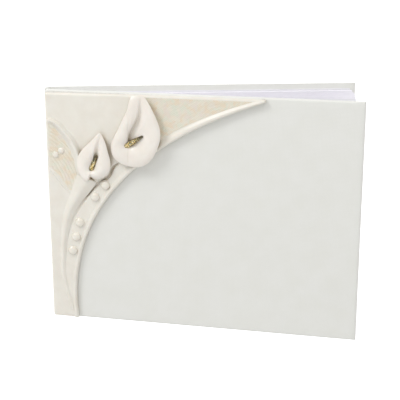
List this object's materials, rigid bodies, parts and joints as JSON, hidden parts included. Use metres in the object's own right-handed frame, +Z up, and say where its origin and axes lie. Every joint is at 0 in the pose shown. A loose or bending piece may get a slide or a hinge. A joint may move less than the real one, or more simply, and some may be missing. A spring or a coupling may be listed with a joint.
{
  "type": "wedding guest book",
  "caption": "Landscape cloth-covered guest book, standing slightly open, with a cast calla lily plaque on its hinged front cover and turning leaves.",
  "frame": {"origin": "on the tail edge of the back cover, at the middle of its length and thickness", "axes": "+X from the spine to the fore-edge, +Y from the front to the back, +Z up"},
  "size_m": [0.23, 0.0782, 0.175],
  "materials": {
    "cover_cloth": "matte",
    "wadding": "matte",
    "greyboard": "matte",
    "endpaper": "matte",
    "leaf_paper": "matte",
    "mull": "matte",
    "band_cotton": "matte",
    "tape": "matte",
    "resin": "satin",
    "pearl_resin": "satin",
    "flower_resin": "satin",
    "bead": "gloss",
    "gold_glitter": "satin"
  },
  "bodies": {
    "spine_and_block": {"spine_cloth": "cover_cloth", "spine_board": "greyboard", "spine_lining": "mull", "page_block": "leaf_paper", "head_band": "band_cotton", "tail_band": "band_cotton"},
    "back_cover": {"back_cover_cloth": "cover_cloth", "back_cover_board": "greyboard", "back_pastedown": "endpaper"},
    "front_cover": {"front_cover_cloth": "cover_cloth", "front_cover_padding": "wadding", "front_cover_board": "greyboard", "front_pastedown": "endpaper", "plaque_tape": "tape", "plaque_base": "resin", "arc_rim": "resin", "upper_rib": "resin", "lower_rib": "resin", "small_calla_stem": "flower_resin", "upper_pearl_panel": "pearl_resin", "left_pearl_panel": "pearl_resin", "large_calla_spathe": "flower_resin", "small_calla_spathe": "flower_resin", "large_calla_spadix": "gold_glitter", "small_calla_spadix": "gold_glitter", "arc_pearls": "bead", "left_pearls": "bead"},
    "front_flyleaf_body": {"front_flyleaf": "endpaper"},
    "leaf_1_body": {"leaf_1": "leaf_paper"},
    "leaf_2_body": {"leaf_2": "leaf_paper"},
    "leaf_3_body": {"leaf_3": "leaf_paper"},
    "leaf_4_body": {"leaf_4": "leaf_paper"}
  },
  "joints": [
    {"name": "front_cover_hinge", "type": "hinge", "parent": "spine_and_block", "child": "front_cover", "pos_m": [-0.115, -0.01245, 0.0875], "axis": [0, 0, -1], "range_deg": [-16.25, 163.75]},
    {"name": "back_cover_hinge", "type": "hinge", "parent": "spine_and_block", "child": "back_cover", "pos_m": [-0.115, 0.00155, 0.0875], "axis": [0, 0, 1], "range_deg": [0, 180]},
    {"name": "front_flyleaf_turn", "type": "hinge", "parent": "spine_and_block", "child": "front_flyleaf_body", "pos_m": [-0.1086, -0.00815, 0.0875], "axis": [0, 0, -1], "range_deg": [-8.13, 81.89]},
    {"name": "leaf_1_turn", "type": "hinge", "parent": "spine_and_block", "child": "leaf_1_body", "pos_m": [-0.1086, -0.00815, 0.0875], "axis": [0, 0, -1], "range_deg": [-6.02, 60.6]},
    {"name": "leaf_2_turn", "type": "hinge", "parent": "spine_and_block", "child": "leaf_2_body", "pos_m": [-0.1086, -0.00815, 0.0875], "axis": [0, 0, -1], "range_deg": [-4.07, 40.95]},
    {"name": "leaf_3_turn", "type": "hinge", "parent": "spine_and_block", "child": "leaf_3_body", "pos_m": [-0.1086, -0.00815, 0.0875], "axis": [0, 0, -1], "range_deg": [-2.53, 25.39]},
    {"name": "leaf_4_turn", "type": "hinge", "parent": "spine_and_block", "child": "leaf_4_body", "pos_m": [-0.1086, -0.00815, 0.0875], "axis": [0, 0, -1], "range_deg": [-1.23, 12.29]}
  ],
  "couplings": [
    {"joint": "front_flyleaf_turn", "follows": "front_cover_hinge", "ratio": 0.5},
    {"joint": "leaf_1_turn", "follows": "front_cover_hinge", "ratio": 0.37},
    {"joint": "leaf_2_turn", "follows": "front_cover_hinge", "ratio": 0.25},
    {"joint": "leaf_3_turn", "follows": "front_cover_hinge", "ratio": 0.155},
    {"joint": "leaf_4_turn", "follows": "front_cover_hinge", "ratio": 0.075}
  ]
}
